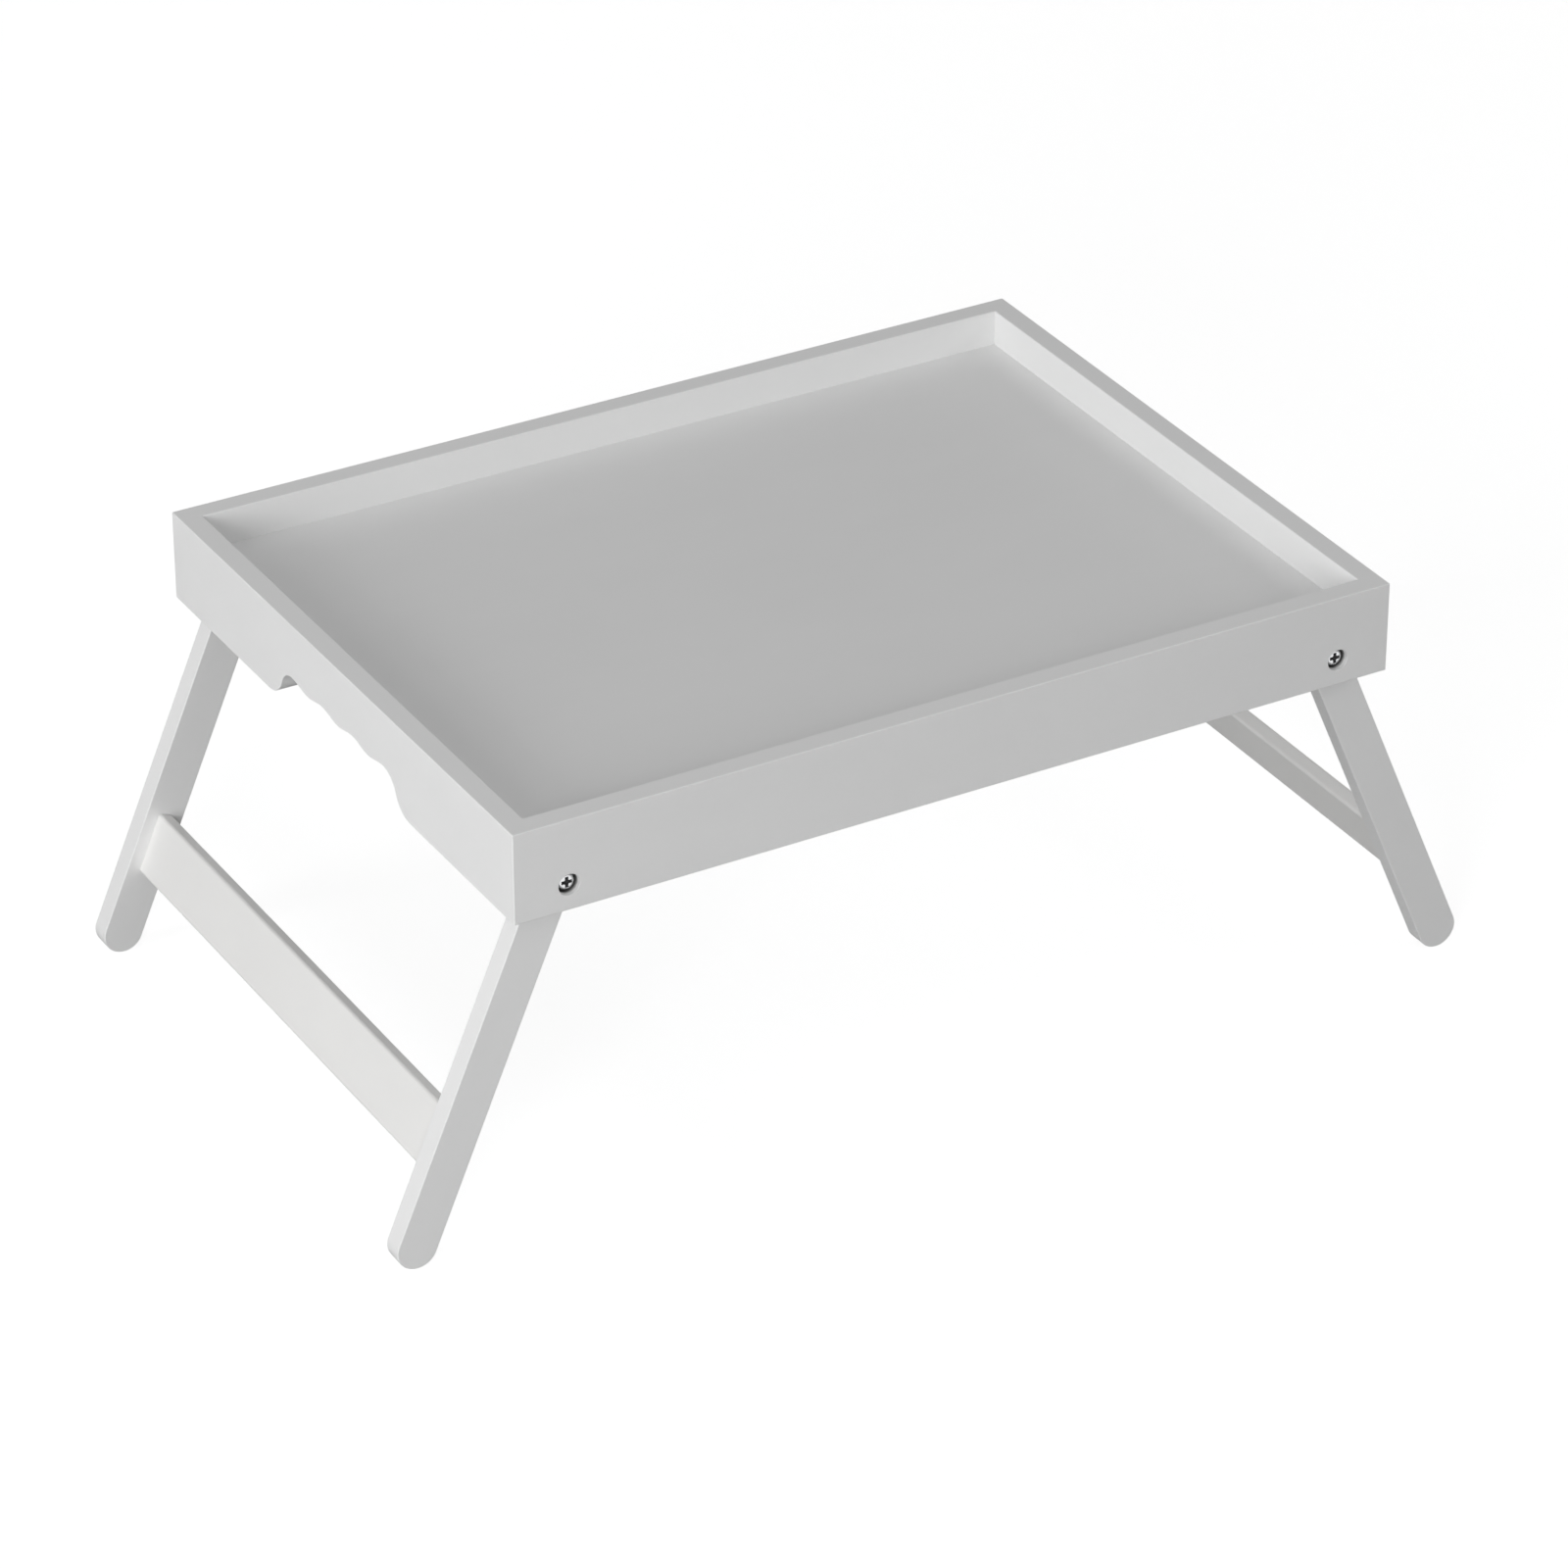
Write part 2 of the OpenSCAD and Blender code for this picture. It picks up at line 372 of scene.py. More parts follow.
def painted(name, dark, light, roughness, peel, grain):
    """Satin paint on wood: roller texture, faint grain and a soft unevenness of tone."""
    n = Nodes(name)
    cloud = n.noise(n.own((14, 30, 30)), detail=3)
    fine = n.noise(n.own((420, 420, 420)), detail=2, roughness=0.6)
    n.tint(n.to_range(n.sum(n.to_range(cloud, 0, 0.75), n.to_range(fine, 0, 0.25)), 0, 1, 0, 1),
           dark, light)
    n.link(n.to_range(n.noise(n.own((60, 90, 90)), detail=2), *roughness),
           n.shader.inputs["Roughness"])
    dimples = n.to_range(n.noise(n.own((620, 620, 620)), detail=1.5), 0, peel, 0, 1)
    lines = n.to_range(n.noise(n.own((16, 900, 900)), detail=3, roughness=0.6), 0, grain, 0, 1)
    waves = n.to_range(n.noise(n.own((9, 40, 40)), detail=1), 0, 0.7 * peel, 0, 1)
    n.bump(n.sum(dimples, lines, waves), 1 * MM)
    n.shader.inputs["Specular IOR Level"].default_value = 0.36
    return n.material


PAINT = painted("painted_wood", (0.89, 0.892, 0.89), (0.91, 0.912, 0.91),
                (0.48, 0.58), 0.02, 0.02)
PANEL_PAINT = painted("painted_panel", (0.89, 0.892, 0.89), (0.905, 0.907, 0.905),
                      (0.46, 0.54), 0.02, 0.006)
BAR_PAINT = painted("painted_cross_bar", (0.893, 0.889, 0.877), (0.911, 0.907, 0.895),
                    (0.46, 0.56), 0.02, 0.02)


def painted_bore_shade():
    """The counterbore wall: white paint near the mouth, fading to near black painted shade further
    in.
    The attribute bore_shade goes from 0, plain paint, to 1, full painted shade."""
    n = Nodes("counterbore_painted_shade")
    lines = n.noise(n.own((40, 900, 900)), detail=3)
    bore_shade = n.add("Attribute", attribute_name="bore_shade")
    uneven = n.sum(bore_shade.outputs["Fac"], n.to_range(lines, -0.06, 0.06))
    # The near black colour is painted shade for the depth of the hole, mixed in by bore_shade.
    n.tint(n.to_range(uneven, 0, 1, 0, 1), (0.90, 0.90, 0.895), (0.09, 0.089, 0.087))
    n.link(n.to_range(uneven, 0.52, 0.85, 0, 1), n.shader.inputs["Roughness"])
    n.bump(n.to_range(lines, 0, 0.03, 0, 1), 1 * MM)
    return n.material


BORE_SHADE = painted_bore_shade()


def zinc():
    """Zinc plated steel, with fine turning marks round the axis of the piece."""
    n = Nodes("zinc_steel")
    split = n.add("SeparateXYZ")
    n.link(n.own(), split.inputs[0])
    flat = n.add("CombineXYZ")
    n.link(split.outputs["Y"], flat.inputs["Y"])
    n.link(split.outputs["Z"], flat.inputs["Z"])
    radius = n.add("VectorMath", operation="LENGTH")
    n.link(flat.outputs[0], radius.inputs[0])
    turned_at = n.add("CombineXYZ")
    n.link(split.outputs["X"], turned_at.inputs["X"])
    n.link(radius.outputs["Value"], turned_at.inputs["Y"])
    marks = n.noise(turned_at.outputs[0], detail=3, roughness=0.6, scale=5000)
    cloud = n.noise(n.own((500, 500, 500)), detail=3)
    n.tint(n.to_range(cloud, 0, 1), (0.70, 0.71, 0.72), (0.82, 0.83, 0.84))
    n.link(n.to_range(n.noise(n.own((900, 900, 900)), detail=2), 0.20, 0.38),
           n.shader.inputs["Roughness"])
    n.bump(n.to_range(marks, 0, 0.008, 0, 1), 1 * MM)
    n.shader.inputs["Metallic"].default_value = 1
    return n.material


ZINC = zinc()


def painted_shade_recess():
    """The walls of the drive recess: near black painted shade for the deep cross, with faint random
    spots.
    """
    n = Nodes("recess_painted_shade")
    spots = n.noise(n.own((1500, 1500, 1500)), detail=3)
    n.tint(n.to_range(spots, 0, 1), (0.012, 0.012, 0.013), (0.035, 0.035, 0.037))
    n.link(n.to_range(spots, 0.45, 0.65), n.shader.inputs["Roughness"])
    n.bump(n.to_range(spots, 0, 0.01, 0, 1), 1 * MM)
    return n.material


RECESS_SHADE = painted_shade_recess()


def nylon():
    """The ring in the lock nut's collar."""
    n = Nodes("nylon_insert")
    cloud = n.noise(n.own((900, 900, 900)), detail=2)
    n.tint(n.to_range(cloud, 0, 1), (0.62, 0.62, 0.58), (0.74, 0.74, 0.70))
    n.link(n.to_range(cloud, 0.35, 0.5), n.shader.inputs["Roughness"])
    n.bump(n.to_range(cloud, 0, 0.02, 0, 1), 1 * MM)
    return n.material


NYLON = nylon()


def beech_wood():
    """Bare beech, with fine grain along the piece."""
    n = Nodes("beech")
    lines = n.noise(n.own((30, 1100, 1100)), detail=3, roughness=0.6)
    n.tint(n.to_range(lines, 0, 1), (0.42, 0.25, 0.12), (0.66, 0.46, 0.27))
    n.link(n.to_range(lines, 0.5, 0.7), n.shader.inputs["Roughness"])
    n.bump(n.to_range(lines, 0, 0.05, 0, 1), 1 * MM)
    return n.material


BEECH = beech_wood()

# ---------------------------------------------------------------- tray frame
# The grip's outline: an S-curve at each end and a wave of four finger hollows between
GRIP_H, FINGER_PITCH, FINGER_D = 18.8 * MM, 33.5 * MM, 2.4 * MM
CORNER_R, FLARE_R = 14 * MM, 16 * MM
FLARE_STEPS, CORNER_STEPS = 26, 24
corner_y = 1.5 * FINGER_PITCH
corner_z = GRIP_H - CORNER_R
flare_rise = FLARE_R - corner_z
flare_run = math.sqrt((CORNER_R + FLARE_R) ** 2 - flare_rise ** 2)
flare_y = corner_y + flare_run
flare_angle = math.degrees(math.atan2(flare_rise, flare_run))
half_grip = arc(flare_y, FLARE_R, FLARE_R, 270, 180 + flare_angle, FLARE_STEPS)
half_grip += arc(corner_y, corner_z, CORNER_R, flare_angle, 90, CORNER_STEPS)[1:]
WAVE_STEPS = 150
wave = []
for i in range(1, WAVE_STEPS):
    y = corner_y * (1 - 2 * i / WAVE_STEPS)
    wave.append((y, GRIP_H - FINGER_D / 2 * (1 + math.cos(2 * math.pi * y / FINGER_PITCH))))
grip = [(flare_y, -MM)] + half_grip + wave
grip += [(-y, z) for y, z in reversed(half_grip)] + [(-flare_y, -MM)]


def tray_frame():
    """The four rails as one ring, with the grips cut and every outer edge softened."""
    bm = bmesh.new()
    rings = []
    for x, y in ((HALF_L, HALF_W), (OPEN_X, OPEN_Y)):
        for z in (RAIL_Z, RIM_Z):
            rings.append([bm.verts.new((sx * x, sy * y, z))
                          for sx, sy in CORNERS])
    outer_low, outer_high, inner_low, inner_high = rings
    for a, b in ((outer_low, outer_high), (outer_high, inner_high),
                 (inner_high, inner_low), (inner_low, outer_low)):
        for i in range(4):
            bm.faces.new((a[i - 1], a[i], b[i], b[i - 1]))
    bmesh.ops.recalc_face_normals(bm, faces=bm.faces)
    ring = to_object(bm, "ring")
    cuts = []
    for side in (LEFT, RIGHT):
        low, high = sorted((side * (HALF_L + MM), side * (OPEN_X - MM)))
        cuts.append(cutter(prism(grip, low, high, lambda a, b, h: (h, a, RAIL_Z + b))))
    combine(ring, cuts)
    bm = bmesh.new()
    bm.from_mesh(ring.data)
    bmesh.ops.recalc_face_normals(bm, faces=bm.faces)
    soften(bm, ARRIS)
    bm.to_mesh(ring.data)
    bm.free()
    return ring


# How deep in the counterbore the painted shade starts, and where it is at its darkest
SHADE_FROM, SHADE_TO = 1.9 * MM, 3.9 * MM


def in_bore(point):
    """Whether a point of a long rail is in a pivot hole, deeper than where the painted shade
    starts.
    The flat face round the hole's inner end has its centre here too, so it takes the painted shade
    material by mistake: a known fault."""
    off = math.hypot(abs(point.x) - abs(pivot.x), point.z - pivot.z)
    return off < COUNTERBORE_R + SLACK and abs(point.y) < HALF_W - SHADE_FROM


def mark_bore_shade(rail):
    """Marks how much painted shade each point of the pivot holes gets, for the material."""
    bore_shade = rail.data.attributes.new("bore_shade", "FLOAT", "POINT")
    for vertex, item in zip(rail.data.vertices, bore_shade.data):
        depth = HALF_W - abs(vertex.co.y)
        if in_bore(vertex.co):
            item.value = min(1, (depth - SHADE_FROM) / (SHADE_TO - SHADE_FROM))


# The counterbore's softened mouth: its radius, and angles in radians, about 22.5 degrees apart
MOUTH_R = 0.35 * MM
MOUTH_ANGLES = (0, 0.39, 0.78, 1.18, 1.5708)


def pivot_hole(x, sign):
    """Counterbore with a softened mouth, and the bolt's hole."""
    r, face_y = COUNTERBORE_R, HALF_W
    profile = [(0, face_y + MM), (r + MOUTH_R, face_y + MM)]
    for t in MOUTH_ANGLES:
        profile.append((r + MOUTH_R - MOUTH_R * math.sin(t), face_y - MOUTH_R * (1 - math.cos(t))))
    bottom = face_y - COUNTERBORE_DEPTH
    profile += [(r, face_y - SHADE_FROM), (r, face_y - SHADE_TO), (r, bottom),
                (BOLT_R + GAP, bottom), (BOLT_R + GAP, OPEN_Y - MM), (0, OPEN_Y - MM)]
    return cutter(turned(profile, BORE_STEPS, along_y(x, pivot.z, sign)))


def dowel_holes(side, face):
    """The two holes of one corner's dowels."""
    r = DOWEL_R + GAP
    made = []
    for z in (dowel_lo.z + DOWEL_R, dowel_hi.z - DOWEL_R):
        profile = [(0, -dowel_lo.y + GAP), (r, -dowel_lo.y + GAP), (r, -dowel_hi.y - GAP),
                   (0, -dowel_hi.y - GAP)]
        x = side * abs(dowel_lo.x + dowel_hi.x) / 2
        made.append(cutter(turned(profile, DOWEL_HOLE_STEPS, along_y(x, z, face))))
    return made


tongue_x, tongue_y = -panel_lo.x, -panel_lo.y
GROOVE_TOP = panel_lo.z + TONGUE_T


def long_rail(ring, face):
    """Front or back rail, with the panel's groove, the pivot holes and the dowel holes."""
    name = "rail_" + FACE[face]
    rail = mirrored(ring, "painted_" + name, Matrix.Identity(4))
    low, high = sorted((face * OPEN_Y, face * (HALF_W + PAST)))
    combine(rail, [cutter(block((-FAR, low, 0), (FAR, high, FAR)))], "INTERSECT")
    low, high = sorted((face * tongue_y, face * (OPEN_Y - MM)))
    cuts = [cutter(block((-tongue_x, low, panel_lo.z), (tongue_x, high, GROOVE_TOP)))]
    for side in (LEFT, RIGHT):
        cuts.append(pivot_hole(side * abs(pivot.x), face))
        cuts += dowel_holes(side, face)
    combine(rail, cuts)
    # The deep part of each pivot hole gets the painted shade material, darker further in.
    second_material(rail, in_bore)
    mark_bore_shade(rail)
    settle(rail, [name], "tray", [PAINT, BORE_SHADE],
           Vector((0, face * HALF_W, RAIL_Z)), (1, 0, 0), (0, 0, 1))


def end_rail(ring, side):
    """Left or right rail, with its hand grip, the panel's groove and the dowel holes."""
    name = "end_rail_" + SIDE[side]
    rail = mirrored(ring, "painted_" + name, Matrix.Identity(4))
    low, high = sorted((side * 0.5 * OPEN_X, side * FAR))
    combine(rail, [cutter(block((low, -OPEN_Y, 0), (high, OPEN_Y, FAR)))], "INTERSECT")
    low, high = sorted((side * tongue_x, side * (OPEN_X - MM)))
    cuts = [cutter(block((low, -HALF_W, panel_lo.z), (high, HALF_W, GROOVE_TOP)))]
    for face in (FRONT, BACK):
        cuts += dowel_holes(side, face)
    combine(rail, cuts)
    settle(rail, [name], "tray", [PAINT],
           Vector((side * HALF_L, 0, RAIL_Z)), (0, 1, 0), (0, 0, 1))


whole_ring = tray_frame()
for face in (FRONT, BACK):
    long_rail(whole_ring, face)
for side in (LEFT, RIGHT):
    end_rail(whole_ring, side)
drop(whole_ring)

# ---------------------------------------------------------------- panel
def tray_panel():
    """The panel, with a tongue all round its lower side."""
    bm = bmesh.new()
    levels = [(tongue_x, tongue_y, panel_lo.z), (tongue_x, tongue_y, GROOVE_TOP),
              (OPEN_X, OPEN_Y, GROOVE_TOP), (OPEN_X, OPEN_Y, panel_hi.z)]
    rows = [[bm.verts.new((sx * x, sy * y, z)) for sx, sy in CORNERS] for x, y, z in levels]
    bm.faces.new(rows[0])
    bm.faces.new(rows[-1])
    for a, b in zip(rows, rows[1:]):
        for i in range(4):
            bm.faces.new((a[i - 1], a[i], b[i], b[i - 1]))
    bmesh.ops.recalc_face_normals(bm, faces=bm.faces)
    settle(to_object(bm, "painted_tray_panel"), ["tray_panel"], "tray",
           [PANEL_PAINT], Vector((0, 0, panel_hi.z)), (1, 0, 0), (0, 1, 0))


tray_panel()


# ---------------------------------------------------------------- legs and cross bars
pivot_axis = Vector((pivot.x, 0, pivot.z))


def leg_point(a, b, h):
    """a runs down the leg from the pivot, b across it, h along Y."""
    spot = pivot_axis + a * down + b * across
    return (spot.x, h, spot.z)


def stadium(start, end, r, steps):
    """An outline with two straight sides and round ends."""
    return arc(end, 0, r, -90, 90, steps) + arc(start, 0, r, 90, 270, steps)


def bar_section(clearance, steps):
    """The cross bar's section, larger by clearance all round."""
    r = BAR_R + clearance
    a, b = BAR_W / 2 - BAR_R, BAR_T / 2 - BAR_R
    made = []
    for sa, sb, start in ((1, 1, 0), (-1, 1, 90), (-1, -1, 180), (1, -1, 270)):
        made += arc(BAR_AT + sa * a, BAR_INSET + sb * b, r, start, start + 90, steps)
    return made


LEG_END_STEPS, BAR_CORNER_STEPS = 40, 8
LEG_HOLE_LIP = 0.3 * MM
BAR_ARRIS, BAR_ARRIS_STEPS, BAR_ARRIS_LIMIT = 0.4 * MM, 2, 60


def leg_shape():
    """The front left leg, with its bolt hole and the blind slot for the cross bar."""
    outline = stadium(0, LEG_LEN, LEG_R, LEG_END_STEPS)
    bm = prism(outline, leg_lo.y, leg_hi.y, leg_point)
    soften(bm, ARRIS)
    leg = to_object(bm, "leg")
    hole, mouth = BOLT_R + GAP, BOLT_R + GAP + LEG_HOLE_LIP
    profile = [(0, -leg_lo.y + MM), (mouth, -leg_lo.y + MM),
               (mouth, -leg_lo.y), (hole, -leg_lo.y - LEG_HOLE_LIP),
               (hole, -leg_hi.y + LEG_HOLE_LIP), (mouth, -leg_hi.y),
               (mouth, -leg_hi.y - MM), (0, -leg_hi.y - MM)]
    slot = bar_section(GAP, BAR_CORNER_STEPS)
    return combine(leg, [
        cutter(turned(profile, LEG_HOLE_STEPS, along_y(pivot.x, pivot.z, -1))),
        cutter(prism(slot, leg_hi.y - SLOT_DEPTH, leg_hi.y + MM, leg_point))])


def bar_shape():
    """The left cross bar."""
    bm = prism(bar_section(0, BAR_CORNER_STEPS), bar_lo.y, bar_hi.y, leg_point)
    soften(bm, BAR_ARRIS, BAR_ARRIS_STEPS, BAR_ARRIS_LIMIT)
    return to_object(bm, "bar")


leg, bar = leg_shape(), bar_shape()
for side in (LEFT, RIGHT):
    body = SIDE[side] + "_legs"
    run = quarter(side, FRONT).to_3x3() @ down
    wide = quarter(side, FRONT).to_3x3() @ across
    start = quarter(side, FRONT) @ pivot_axis
    for face in (FRONT, BACK):
        name = "leg_" + FACE[face] + "_" + SIDE[side]
        settle(mirrored(leg, "painted_" + name, quarter(side, face)), [name], body,
               [PAINT], start + Vector((0, face * -leg_lo.y, 0)), run, wide)
    name = "cross_bar_" + SIDE[side]
    settle(mirrored(bar, "painted_" + name, quarter(side, FRONT)), [name], body,
           [BAR_PAINT], start + BAR_AT * run, (0, 1, 0), run)
drop(leg)
drop(bar)

# ---------------------------------------------------------------- pivot hardware
at_pivot = along_y(pivot.x, pivot.z)

# Pan head bolt: drawn along +Y from the top of its head
HEAD_R, HEAD_H = (bolt_hi.x - bolt_lo.x) / 2, 3.7 * MM
CROWN = 0.55 * HEAD_H
THREAD_L, PITCH, THREAD_DEPTH = 7 * MM, 0.8 * MM, 0.43 * MM
top, seat, tip = bolt_lo.y, bolt_lo.y + HEAD_H, bolt_hi.y
CROWN_STEPS, RINGS_PER_TURN = 12, 8
RIM, RIM_CORNER = 0.2 * MM, 0.06 * MM
TIP_CHAMFER = 0.6 * MM

bolt_profile = [(0, top)]
for i in range(CROWN_STEPS + 1):
    a = math.radians(90 * i / CROWN_STEPS)
    bolt_profile.append((HEAD_R - CROWN * (1 - math.sin(a)), top + CROWN * (1 - math.cos(a))))
bolt_profile += [(HEAD_R, seat - RIM), (HEAD_R - RIM_CORNER, seat - RIM_CORNER),
                 (HEAD_R - RIM, seat), (BOLT_R, seat), (BOLT_R, tip - THREAD_L - 0.2 * MM)]
thread_rings = round(THREAD_L / (PITCH / RINGS_PER_TURN))
bolt_profile += [(BOLT_R, tip - THREAD_L + THREAD_L * i / thread_rings)
                 for i in range(thread_rings + 1)]
bolt_profile += [(0, tip)]


def threaded(r, along, angle):
    """The bolt's radius, with its thread near the tip and a chamfer at the end."""
    if along < tip - THREAD_L or r < BOLT_R:
        return r
    turn = (along / PITCH - angle / (2 * math.pi)) % 1
    ridge = 1 - min(1, max(0, abs(2 * turn - 1) * 1.35 - 0.15))
    fade = min(1, (along - tip + THREAD_L) / PITCH)
    cut = BOLT_R - THREAD_DEPTH * (1 - ridge) * fade
    return min(cut, BOLT_R - TIP_CHAMFER + (tip - along))


bolt = to_object(turned(bolt_profile, HARDWARE_STEPS, at_pivot, radius=threaded), "bolt")


def cross_outline(reach, half, fillet):
    """One outline of the cross recess: four arms with rounded inner corners."""
    made = []
    for k in range(4):
        a = math.radians(90 * k)
        arm = [(reach, -half), (reach, half)]
        arm += [(half + fillet + fillet * math.cos(t), half + fillet + fillet * math.sin(t))
                for t in (math.radians(270 - 90 * i / 5) for i in range(6))]
        made += [(x * math.cos(a) - y * math.sin(a), x * math.sin(a) + y * math.cos(a))
                 for x, y in arm]
    return made


RECESS, RECESS_REACH = 2.4 * MM, 2.95 * MM
# Reach, half width and corner fillet of the recess at three depths, in millimetres
RECESS_RINGS = ((3.05, 0.99, 0.62, -0.5), (2.9, 0.93, 0.57, 0.0), (1.7, 0.5, 0.4, 1.7))


def cross_recess():
    """The drive recess, tapering to a point."""
    bm = bmesh.new()
    rings = []
    for reach, half, fillet, depth in RECESS_RINGS:
        rings.append([bm.verts.new(at_pivot(x * MM, y * MM, top + depth * MM))
                      for x, y in cross_outline(reach, half, fillet)])
    bm.faces.new(rings[0])
    for a, b in zip(rings, rings[1:]):
        for i in range(len(a)):
            bm.faces.new((a[i - 1], a[i], b[i], b[i - 1]))
    point = bm.verts.new(at_pivot(0, 0, top + RECESS))
    for i in range(len(rings[-1])):
        bm.faces.new((rings[-1][i - 1], rings[-1][i], point))
    bmesh.ops.recalc_face_normals(bm, faces=bm.faces)
    return cutter(bm)


combine(bolt, [cross_recess()])


def in_recess(point):
    """Whether a point of the bolt lies on the walls of its drive recess."""
    off = math.hypot(point.x - pivot.x, point.z - pivot.z)
    return off < RECESS_REACH and 2 * SLACK < point.y - top < RECESS + 10 * SLACK


# The walls of the drive recess get the near black painted shade material.
second_material(bolt, in_recess)

def washer_shape():
    """A flat ring with chamfered edges."""
    low, high = washer_lo.y, washer_hi.y
    r0, r1, e = WASHER_HOLE_R, (washer_hi.x - washer_lo.x) / 2, 0.12 * MM
    profile = [(r0 + e, low), (r1 - e, low), (r1, low + e), (r1, high - e), (r1 - e, high),
               (r0 + e, high), (r0, high - e), (r0, low + e)]
    return to_object(turned(profile, HARDWARE_STEPS, at_pivot, closed=True), "washer")


NYLON_R, NYLON_INSET = 3.05 * MM, 0.2 * MM
# How far in from the flats the nut's end chamfer starts, and where its collar starts
NUT_CHAMFER, COLLAR_FROM = 0.15 * MM, 2 * MM
CORNER_SLACK, NUT_LEAD = 0.05 * MM, 0.35 * MM


def nut_shape():
    """Lock nut: a hexagon with its corners turned off at both ends, and a collar that holds
    a nylon ring."""
    low, high = nut_lo.y, nut_hi.y
    corner = NUT_FLATS / 2 / math.cos(math.radians(30))
    hexagon = [(corner * math.cos(math.radians(60 * k)), corner * math.sin(math.radians(60 * k)))
               for k in range(6)]
    nut = to_object(prism(hexagon, low, low + NUT_HEX_H, at_pivot), "nut")
    flat, past = NUT_FLATS / 2 - NUT_CHAMFER, corner + CORNER_SLACK
    drop_edge = (corner - NUT_FLATS / 2 + NUT_CHAMFER) * math.tan(math.radians(30))
    profile = [(0, low), (flat, low), (past, low + drop_edge),
               (past, low + NUT_HEX_H - drop_edge), (flat, low + NUT_HEX_H), (0, low + NUT_HEX_H)]
    combine(nut, [cutter(turned(profile, NUT_STEPS, at_pivot))], "INTERSECT")
    collar = [(0, low + COLLAR_FROM), (COLLAR_R, low + COLLAR_FROM), (COLLAR_R, high - 0.3 * MM),
              (COLLAR_R - 0.08 * MM, high - 0.09 * MM), (COLLAR_R - 0.25 * MM, high),
              (NYLON_R + 0.05 * MM, high), (NYLON_R, high - NYLON_INSET), (0, high - NYLON_INSET)]
    combine(nut, [cutter(turned(collar, NUT_STEPS, at_pivot))], "UNION")
    bore = BOLT_R + GAP
    profile = [(0, low - MM), (bore + NUT_LEAD, low - MM), (bore + NUT_LEAD, low),
               (bore, low + NUT_LEAD), (bore, high + MM), (0, high + MM)]
    return combine(nut, [cutter(turned(profile, HARDWARE_STEPS, at_pivot))])


washer, nut = washer_shape(), nut_shape()


def in_nylon(point):
    """Whether a point of the nut lies on its nylon ring."""
    off = math.hypot(point.x - pivot.x, point.z - pivot.z)
    return off < NYLON_R - 2 * SLACK and point.y > nut_lo.y + NUT_HEX_H


second_material(nut, in_nylon)

for side in (LEFT, RIGHT):
    for face in (FRONT, BACK):
        where = FACE[face] + "_" + SIDE[side]
        matrix = quarter(side, face)
        for kind, made, y, materials in (("pivot_bolt_", bolt, top, [ZINC, RECESS_SHADE]),
                                         ("washer_", washer, washer_lo.y, [ZINC]),
                                         ("lock_nut_", nut, nut_lo.y, [ZINC, NYLON])):
            settle(mirrored(made, "steel_" + kind + where, matrix), [kind + where], "tray",
                   materials, matrix @ Vector((pivot.x, y, pivot.z)), (0, 1, 0),
                   (0, 0, 1), 30, spread=0)
for made in (bolt, washer, nut):
    drop(made)

# ---------------------------------------------------------------- dowels
FLUTES, FLUTE_DEPTH = 16, 0.2 * MM
DOWEL_CHAMFER = 0.8 * MM


def fluted(r, along, angle):
    """The dowel's radius, with narrow flutes along it."""
    return r - FLUTE_DEPTH * (0.5 + 0.5 * math.cos(FLUTES * angle)) ** 3


def dowel_pair():
    """The two dowels of the front left corner, as one mesh."""
    low, high, e = dowel_lo.y, dowel_hi.y, DOWEL_CHAMFER
    profile = [(0, low), (DOWEL_R - e, low), (DOWEL_R, low + e),
               (DOWEL_R, high - e), (DOWEL_R - e, high), (0, high)]
    both = bmesh.new()
    for z in (dowel_lo.z + DOWEL_R, dowel_hi.z - DOWEL_R):
        middle = along_y((dowel_lo.x + dowel_hi.x) / 2, z)
        one = turned(profile, DOWEL_STEPS, middle, radius=fluted)
        mesh = bpy.data.meshes.new("dowel")
        one.to_mesh(mesh)
        one.free()
        both.from_mesh(mesh)
        bpy.data.meshes.remove(mesh)
    return to_object(both, "dowels")


pair = dowel_pair()
for side in (LEFT, RIGHT):
    for face in (FRONT, BACK):
        where = FACE[face] + "_" + SIDE[side]
        matrix = quarter(side, face)
        settle(mirrored(pair, "beech_dowels_" + where, matrix), ["dowels_" + where], "tray",
               [BEECH], matrix @ Vector((dowel_lo.x, dowel_lo.y, dowel_lo.z)),
               (0, 1, 0), (0, 0, 1), 40)
drop(pair)

# ---------------------------------------------------------------- camera
camera = bpy.data.objects.new("camera", bpy.data.cameras.new("camera"))
scene.collection.objects.link(camera)
scene.camera = camera
AZIMUTH, ELEVATION, DISTANCE = -29.81, 30.34, 3.407
AIM = Vector((-25.4 * MM, -53.5 * MM, 132 * MM))
back = direction(AZIMUTH, ELEVATION)
camera.location = AIM + back * DISTANCE
camera.rotation_mode = "QUATERNION"
camera.rotation_quaternion = (-back).to_track_quat("-Z", "Y")
camera.data.lens = 153.6
camera.data.sensor_width = 36
camera.data.clip_start, camera.data.clip_end = 0.05, 60

# ---------------------------------------------------------------- studio
# A pale floor that sweeps up into a wall far behind. Its glow is linked to itself and to the
# steel, so that it looks pale without lighting the painted wood from below.
SWEEP_STEPS = 96
FLAT_RINGS = (0.6, 1.2, 2.4, 5, 9)
WALL_AT, WALL_TOP, SWEEP_R = 12, 2.2, 1


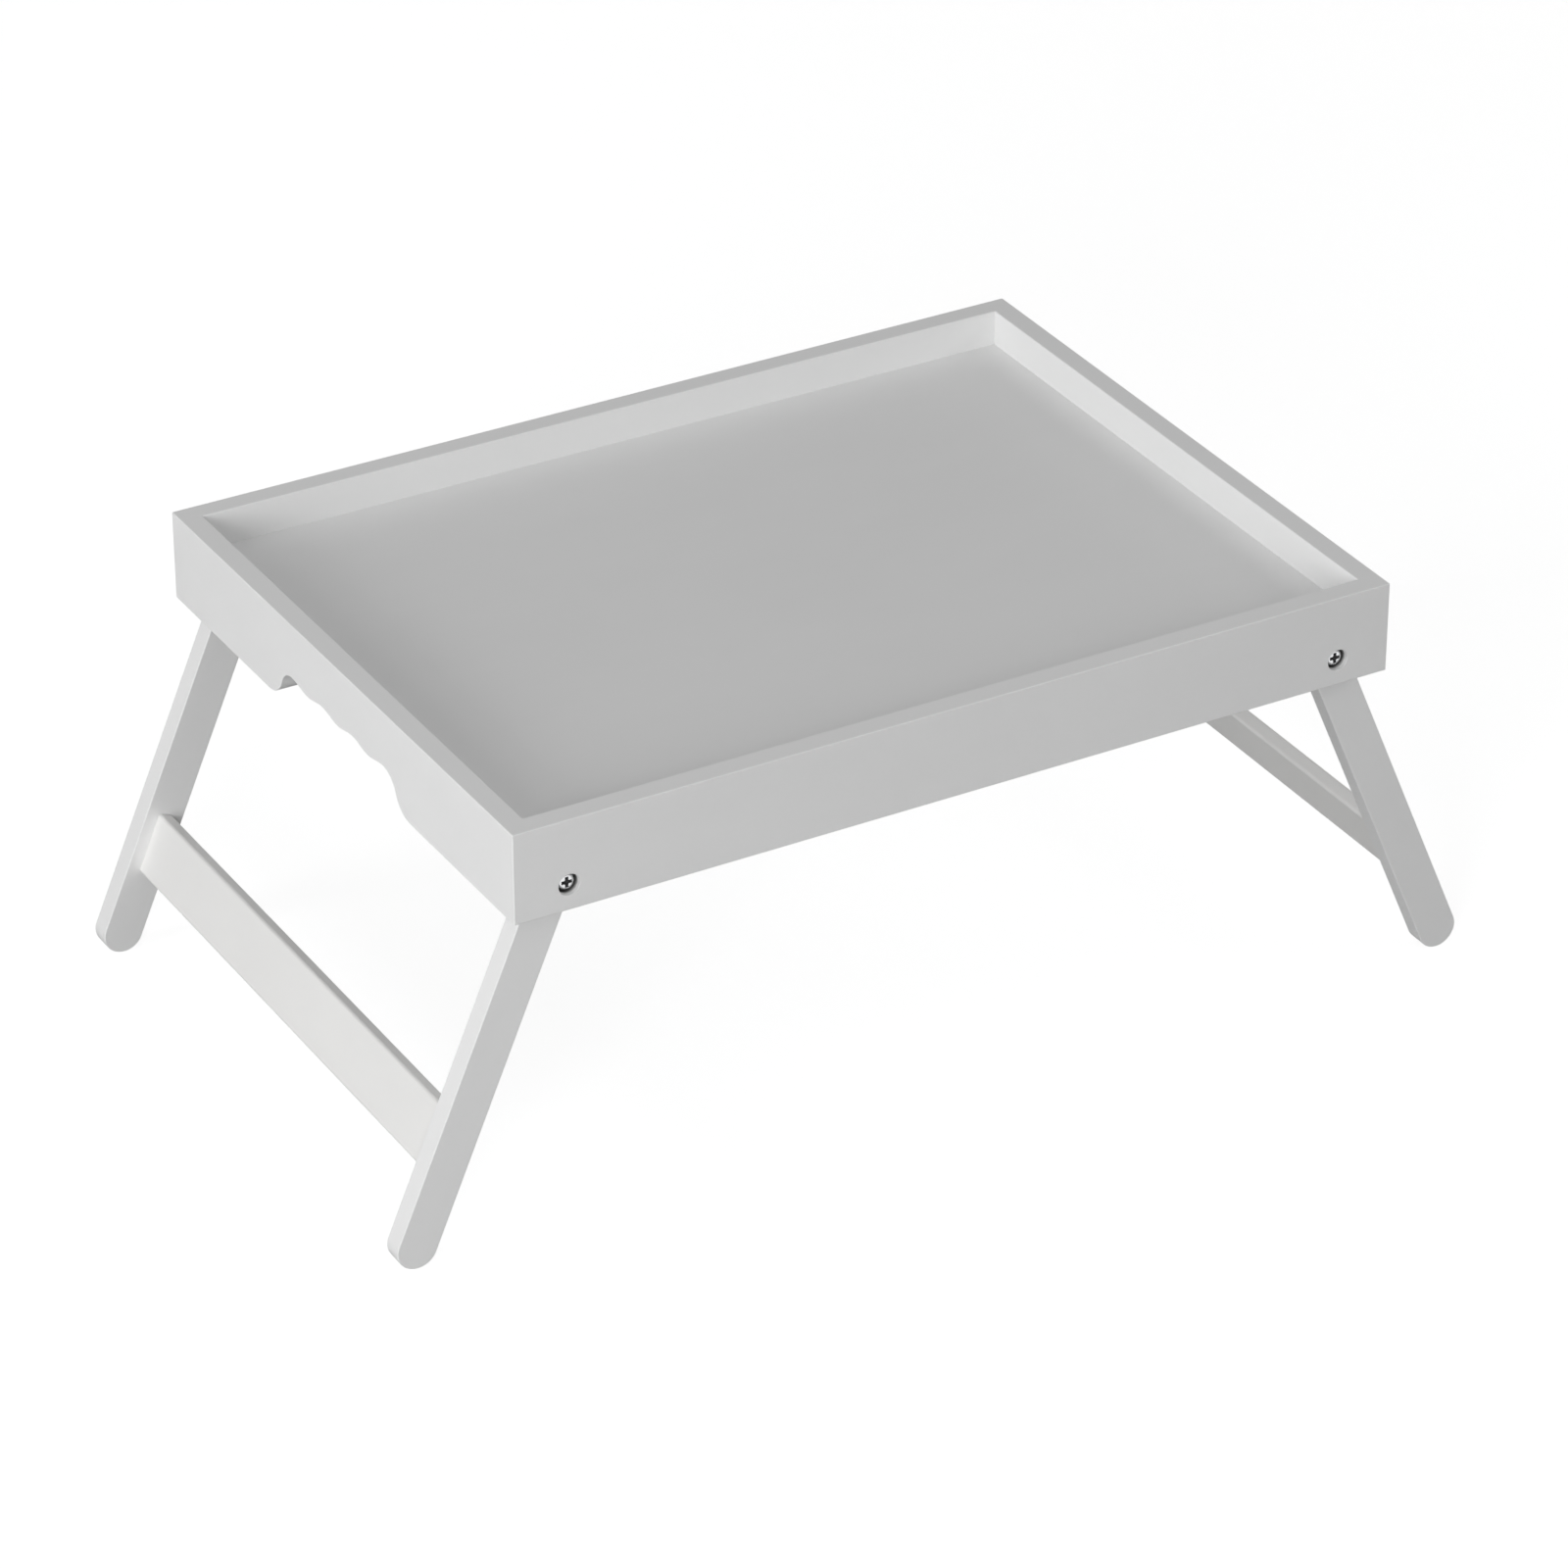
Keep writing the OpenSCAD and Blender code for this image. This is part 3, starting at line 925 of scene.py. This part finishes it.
def sweep_shape():
    """The floor's disc, curving up into the wall."""
    outline = [(0, 0)] + [(r, 0) for r in FLAT_RINGS]
    outline += arc(WALL_AT - SWEEP_R, SWEEP_R, SWEEP_R, -90, 0, 10)[1:] + [(WALL_AT, WALL_TOP)]
    bm = bmesh.new()
    rows = []
    for r, z in outline:
        angles = (2 * math.pi * i / SWEEP_STEPS for i in range(SWEEP_STEPS if r else 1))
        rows.append([bm.verts.new((r * math.cos(a), r * math.sin(a), z)) for a in angles])
    for low, high in zip(rows, rows[1:]):
        for i in range(SWEEP_STEPS):
            j = (i + 1) % SWEEP_STEPS
            quad = [low[i % len(low)], low[j % len(low)], high[j], high[i]]
            bm.faces.new(list(dict.fromkeys(quad)))
    return to_object(bm, "floor")


floor = sweep_shape()
floor.data.shade_smooth()
n = Nodes("floor")
n.shader.inputs["Base Color"].default_value = (0.26, 0.26, 0.26, 1)
n.shader.inputs["Roughness"].default_value = 0.9
n.shader.inputs["Specular IOR Level"].default_value = 0.2
n.shader.inputs["Emission Color"].default_value = (1, 1, 1, 1)
n.shader.inputs["Emission Strength"].default_value = 0.85
floor.data.materials.append(n.material)
glow = bpy.data.collections.new("floor_glow")
glow.objects.link(floor)
table = bpy.data.collections.new("table")
for made in scene.objects:
    if made.name.startswith("steel_"):
        glow.objects.link(made)
    if made.type == "MESH" and made != floor:
        table.objects.link(made)
floor.light_linking.receiver_collection = glow

world = bpy.data.worlds.new("studio")
scene.world = world
world.use_nodes = True
world.node_tree.nodes["Background"].inputs["Color"].default_value = (1, 1, 1, 1)
world.node_tree.nodes["Background"].inputs["Strength"].default_value = 0.362

# What the lights face: the middle of the table
LIT_POINT = Vector((0, 0, 0.15))


def softbox(name, azimuth, elevation, distance, width, height, power, reaches=None):
    """A rectangular light that faces the tray, and may reach only one collection."""
    light = bpy.data.lights.new(name, "AREA")
    light.shape = "RECTANGLE"
    light.size, light.size_y = width, height
    light.energy = power
    lamp = bpy.data.objects.new(name, light)
    scene.collection.objects.link(lamp)
    out = direction(azimuth, elevation)
    lamp.location = LIT_POINT + out * distance
    lamp.rotation_mode = "QUATERNION"
    lamp.rotation_quaternion = (-out).to_track_quat("-Z", "Y")
    if reaches:
        lamp.light_linking.receiver_collection = reaches


# Azimuth, elevation, distance, width, height and power, in degrees, metres and watts
softbox("left", -92, 12, 3.5, 1.0, 1.4, 32)
softbox("front", -42, 18, 3.5, 1.0, 1.0, 28)
softbox("low front", -40, 5, 3.5, 1.0, 0.8, 16.5)
softbox("right", 60, 30, 3.5, 1.0, 1.0, 9)
# Low boxes behind, for the faces that the main view doesn't show. They are linked to the table
# only, so they leave the floor alone.
softbox("back", 168, 2, 3.5, 1.6, 0.5, 34, table)
softbox("back right", 98, 2, 3.5, 1.6, 0.5, 27, table)

scene.view_settings.view_transform = "Standard"
